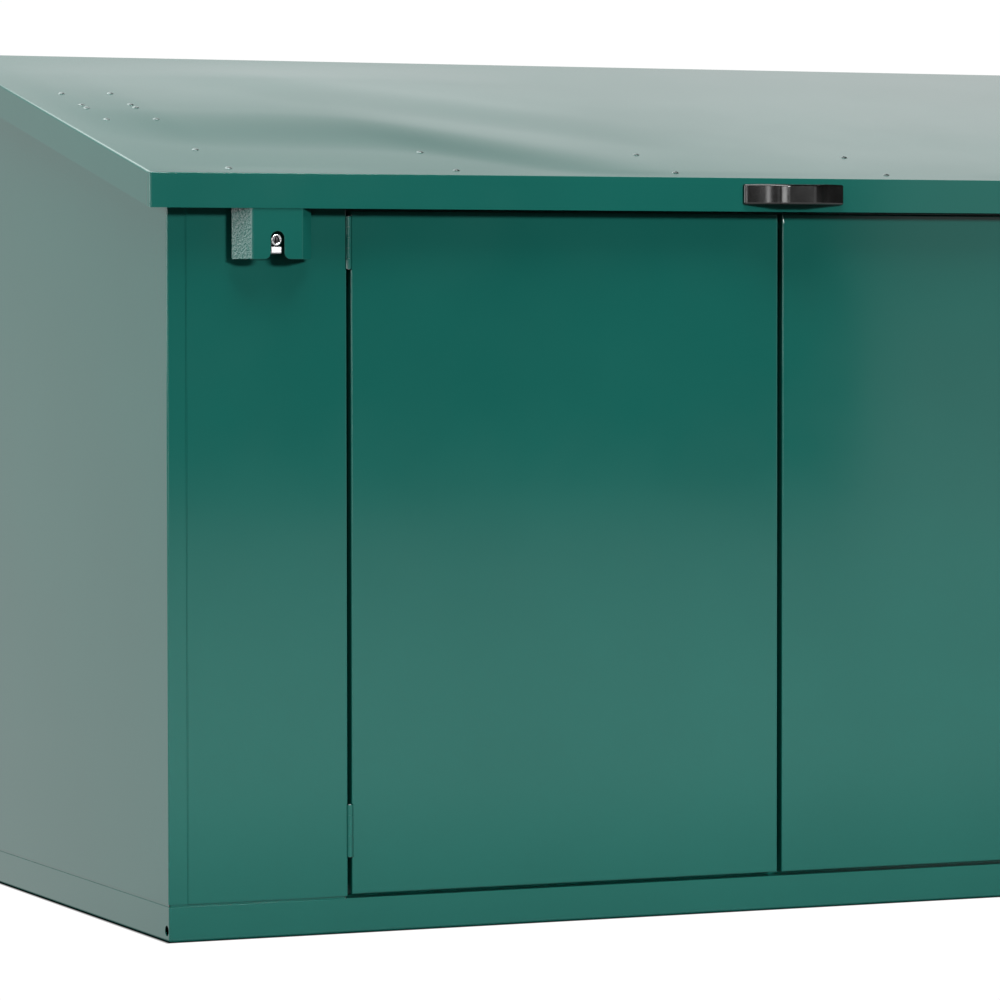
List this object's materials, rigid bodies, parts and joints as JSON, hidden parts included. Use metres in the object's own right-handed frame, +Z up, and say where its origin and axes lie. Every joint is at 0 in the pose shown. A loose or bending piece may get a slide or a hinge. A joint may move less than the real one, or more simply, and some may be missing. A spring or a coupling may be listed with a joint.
{
  "type": "outdoor storage locker",
  "caption": "Low steel outdoor storage locker with a sloping lift-up lid on gas struts, outward-opening front doors and a shrouded lock at each end of the lid.",
  "frame": {"origin": "centre of the base's footprint, on the ground, at the underside of the centre floor joist", "axes": "+X along the front to the right of a person facing the doors, +Y from the front to the hinged back, +Z up"},
  "size_m": [2, 0.9923, 1.2935],
  "materials": {
    "green_paint": "semi-gloss dark green powder coat with a fine orange-peel texture",
    "zinc_steel": "bright zinc plate, satin",
    "lock_chrome": "polished nickel-chrome",
    "strut_chrome": "ground and chromed rod",
    "strut_black": "satin black paint",
    "handle_black": "gloss moulded plastic",
    "buffer_rubber": "matt rubber",
    "catch_plastic": "matt moulded plastic"
  },
  "bodies": {
    "casing": {"base_frame": "green_paint", "floor_joist_left": "zinc_steel", "floor_joist_centre": "zinc_steel", "floor_joist_right": "zinc_steel", "floor_tray_left": "zinc_steel", "floor_tray_right": "zinc_steel", "side_panel_left": "green_paint", "side_panel_right": "green_paint", "back_panel_left": "green_paint", "back_panel_right": "green_paint", "pilaster_left": "green_paint", "pilaster_right": "green_paint", "front_header": "green_paint", "hinge_rail": "zinc_steel", "lid_buffer_front_left": "buffer_rubber", "lid_buffer_front_right": "buffer_rubber", "lid_buffer_rear_left": "buffer_rubber", "lid_buffer_rear_right": "buffer_rubber", "door_catch_left": "catch_plastic", "door_catch_right": "catch_plastic", "door_hinge_lower_fixed_leaf_left": "green_paint", "door_hinge_lower_fixed_leaf_right": "green_paint", "door_hinge_lower_pin_left": "zinc_steel", "door_hinge_lower_pin_right": "zinc_steel", "door_hinge_upper_fixed_leaf_left": "green_paint", "door_hinge_upper_fixed_leaf_right": "green_paint", "door_hinge_upper_pin_left": "zinc_steel", "door_hinge_upper_pin_right": "zinc_steel", "lid_hinge_fixed_leaf": "green_paint", "lid_hinge_pin": "zinc_steel", "lock_body_left": "lock_chrome", "lock_body_right": "lock_chrome", "strut_bracket_left": "zinc_steel", "strut_bracket_right": "zinc_steel"},
    "lid": {"lid_panel": "green_paint", "lid_front_stiffener": "green_paint", "lid_strut_plate_left": "zinc_steel", "lid_strut_plate_right": "zinc_steel", "lid_hinge_lid_leaf": "green_paint", "lid_handle": "handle_black", "lock_cover_left": "green_paint", "lock_cover_right": "green_paint", "lid_catch_left": "zinc_steel", "lid_catch_right": "zinc_steel"},
    "left_door": {"door_left": "green_paint", "door_stiffener_left": "green_paint", "door_strike_left": "zinc_steel", "door_hinge_lower_door_leaf_left": "green_paint", "door_hinge_upper_door_leaf_left": "green_paint"},
    "left_lock": {"lock_plug_left": "lock_chrome"},
    "left_strut_cylinder": {"strut_cylinder_left": "strut_black"},
    "left_strut_rod": {"strut_rod_left": "strut_chrome"},
    "right_door": {"door_right": "green_paint", "door_stiffener_right": "green_paint", "door_strike_right": "zinc_steel", "door_hinge_lower_door_leaf_right": "green_paint", "door_hinge_upper_door_leaf_right": "green_paint"},
    "right_lock": {"lock_plug_right": "lock_chrome"},
    "right_strut_cylinder": {"strut_cylinder_right": "strut_black"},
    "right_strut_rod": {"strut_rod_right": "strut_chrome"}
  },
  "joints": [
    {"name": "lid_hinge", "type": "hinge", "parent": "casing", "child": "lid", "pos_m": [0, 0.46, 1.239], "axis": [-1, 0, 0], "range_deg": [0, 60]},
    {"name": "left_door_hinge", "type": "hinge", "parent": "casing", "child": "left_door", "pos_m": [-0.68675, -0.454, 0.54], "axis": [0, 0, -1], "range_deg": [0, 110]},
    {"name": "left_lock_turn", "type": "hinge", "parent": "casing", "child": "left_lock", "pos_m": [-0.8093, -0.455, 0.991], "axis": [0, 1, 0], "range_deg": [0, 90]},
    {"name": "left_strut_swing", "type": "hinge", "parent": "casing", "child": "left_strut_cylinder", "pos_m": [-0.9, 0.31184, 0.83692], "axis": [-1, 0, 0], "range_deg": [0, 30]},
    {"name": "left_strut_extend", "type": "slide", "parent": "left_strut_cylinder", "child": "left_strut_rod", "axis": [0, -0.6397, 0.7686], "range_m": [0, 0.314]},
    {"name": "right_door_hinge", "type": "hinge", "parent": "casing", "child": "right_door", "pos_m": [0.68675, -0.454, 0.54], "axis": [0, 0, 1], "range_deg": [0, 110]},
    {"name": "right_lock_turn", "type": "hinge", "parent": "casing", "child": "right_lock", "pos_m": [0.8093, -0.455, 0.991], "axis": [0, -1, 0], "range_deg": [0, 90]},
    {"name": "right_strut_swing", "type": "hinge", "parent": "casing", "child": "right_strut_cylinder", "pos_m": [0.9, 0.31184, 0.83692], "axis": [-1, 0, 0], "range_deg": [0, 30]},
    {"name": "right_strut_extend", "type": "slide", "parent": "right_strut_cylinder", "child": "right_strut_rod", "axis": [0, -0.6397, 0.7686], "range_m": [0, 0.314]}
  ],
  "couplings": [
    {"joint": "left_strut_swing", "follows": "lid_hinge", "ratio": 0.5},
    {"joint": "left_strut_extend", "follows": "lid_hinge", "m_per_rad": 0.29955},
    {"joint": "right_strut_swing", "follows": "lid_hinge", "ratio": 0.5},
    {"joint": "right_strut_extend", "follows": "lid_hinge", "m_per_rad": 0.29955}
  ]
}
